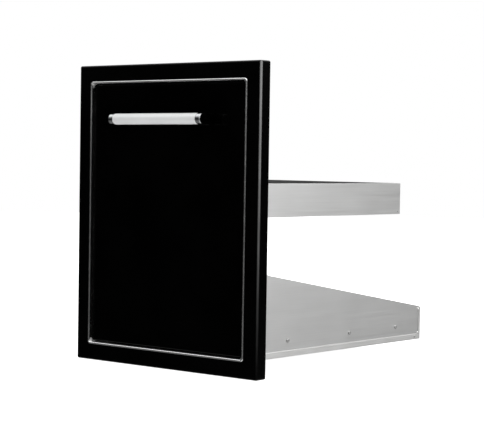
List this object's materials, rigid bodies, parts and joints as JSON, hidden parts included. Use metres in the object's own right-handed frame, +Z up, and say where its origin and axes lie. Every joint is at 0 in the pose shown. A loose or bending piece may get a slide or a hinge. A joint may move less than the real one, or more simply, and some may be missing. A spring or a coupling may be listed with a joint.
{
  "type": "pull-out trash drawer",
  "caption": "Built-in pull-out waste drawer: gloss black framed door with bar handle, steel bin hoop and tray on telescopic slides in a tapered steel housing.",
  "frame": {"origin": "middle of the bottom of the bounding box, which is the lower edge of the face frame", "axes": "+X right seen from the front, -Y towards the user, +Z up"},
  "size_m": [0.508, 0.6715, 0.635],
  "materials": {
    "black_gloss": "high gloss black",
    "black_satin": "satin black",
    "polished_trim": "polished stainless steel",
    "grip_steel": "fine satin",
    "chrome_parts": "bright chrome",
    "brushed_sheet": "brushed stainless sheet",
    "zinc_slides": "bright zinc plate",
    "cage_steel": "zinc plate",
    "fasteners": "stainless screws and rivets",
    "rubber_parts": "matt black",
    "black_plastic": "moulded black"
  },
  "bodies": {
    "housing": {"face_frame": "black_gloss", "opening_trim": "polished_trim", "housing_side_left": "brushed_sheet", "housing_side_right": "brushed_sheet", "housing_bottom": "brushed_sheet", "housing_rear": "brushed_sheet", "sleeve_top": "brushed_sheet", "door_stop": "black_satin", "slide_outer_left": "zinc_slides", "slide_outer_right": "zinc_slides", "slide_screw_left_1": "fasteners", "slide_screw_left_2": "fasteners", "slide_screw_left_3": "fasteners", "slide_screw_right_1": "fasteners", "slide_screw_right_2": "fasteners", "slide_screw_right_3": "fasteners", "pan_rivet_left": "fasteners", "pan_rivet_right": "fasteners"},
    "drawer": {"door_skin": "black_gloss", "door_liner": "black_satin", "handle_tube": "grip_steel", "handle_ferrule_left": "chrome_parts", "handle_ferrule_right": "chrome_parts", "handle_bracket_left": "black_gloss", "handle_bracket_right": "black_gloss", "handle_screw_left": "fasteners", "handle_screw_right": "fasteners", "door_bumper_left": "rubber_parts", "door_bumper_right": "rubber_parts", "drawer_tray": "brushed_sheet", "gusset_left": "brushed_sheet", "gusset_right": "brushed_sheet", "gusset_screw_left_lower": "fasteners", "gusset_screw_left_upper": "fasteners", "gusset_screw_right_lower": "fasteners", "gusset_screw_right_upper": "fasteners", "tray_screw_left_front": "fasteners", "tray_screw_left_rear": "fasteners", "tray_screw_right_front": "fasteners", "tray_screw_right_rear": "fasteners", "bin_hoop": "brushed_sheet", "hoop_front": "brushed_sheet", "hoop_screw_left_lower": "fasteners", "hoop_screw_left_upper": "fasteners", "hoop_screw_right_lower": "fasteners", "hoop_screw_right_upper": "fasteners", "hoop_rivet_left": "fasteners", "hoop_rivet_right": "fasteners", "slide_inner_left": "zinc_slides", "slide_inner_right": "zinc_slides"},
    "slide_middle_left": {"slide_middle_left": "zinc_slides"},
    "ball_cage_outer_left": {"ball_cage_outer_left": "cage_steel"},
    "ball_cage_inner_left": {"ball_cage_inner_left": "cage_steel"},
    "release_lever_left": {"release_lever_left": "black_plastic"},
    "slide_middle_right": {"slide_middle_right": "zinc_slides"},
    "ball_cage_outer_right": {"ball_cage_outer_right": "cage_steel"},
    "ball_cage_inner_right": {"ball_cage_inner_right": "cage_steel"},
    "release_lever_right": {"release_lever_right": "black_plastic"}
  },
  "joints": [
    {"name": "drawer_slide", "type": "slide", "parent": "housing", "child": "drawer", "axis": [0, -1, 0], "range_m": [0, 0.508]},
    {"name": "slide_middle_left_slide", "type": "slide", "parent": "housing", "child": "slide_middle_left", "axis": [0, -1, 0], "range_m": [0, 0.254]},
    {"name": "ball_cage_outer_left_slide", "type": "slide", "parent": "housing", "child": "ball_cage_outer_left", "axis": [0, -1, 0], "range_m": [0, 0.127]},
    {"name": "ball_cage_inner_left_slide", "type": "slide", "parent": "housing", "child": "ball_cage_inner_left", "axis": [0, -1, 0], "range_m": [0, 0.381]},
    {"name": "release_lever_left_pivot", "type": "hinge", "parent": "drawer", "child": "release_lever_left", "pos_m": [-0.2069, -0.00925, 0.067], "axis": [1, 0, 0], "range_deg": [-8, 8], "stiffness_Nm_per_rad": 0.1},
    {"name": "slide_middle_right_slide", "type": "slide", "parent": "housing", "child": "slide_middle_right", "axis": [0, -1, 0], "range_m": [0, 0.254]},
    {"name": "ball_cage_outer_right_slide", "type": "slide", "parent": "housing", "child": "ball_cage_outer_right", "axis": [0, -1, 0], "range_m": [0, 0.127]},
    {"name": "ball_cage_inner_right_slide", "type": "slide", "parent": "housing", "child": "ball_cage_inner_right", "axis": [0, -1, 0], "range_m": [0, 0.381]},
    {"name": "release_lever_right_pivot", "type": "hinge", "parent": "drawer", "child": "release_lever_right", "pos_m": [0.2069, -0.00925, 0.067], "axis": [1, 0, 0], "range_deg": [-8, 8], "stiffness_Nm_per_rad": 0.1}
  ],
  "couplings": [
    {"joint": "slide_middle_left_slide", "follows": "drawer_slide", "ratio": 0.5},
    {"joint": "ball_cage_outer_left_slide", "follows": "drawer_slide", "ratio": 0.25},
    {"joint": "ball_cage_inner_left_slide", "follows": "drawer_slide", "ratio": 0.75},
    {"joint": "slide_middle_right_slide", "follows": "drawer_slide", "ratio": 0.5},
    {"joint": "ball_cage_outer_right_slide", "follows": "drawer_slide", "ratio": 0.25},
    {"joint": "ball_cage_inner_right_slide", "follows": "drawer_slide", "ratio": 0.75}
  ]
}
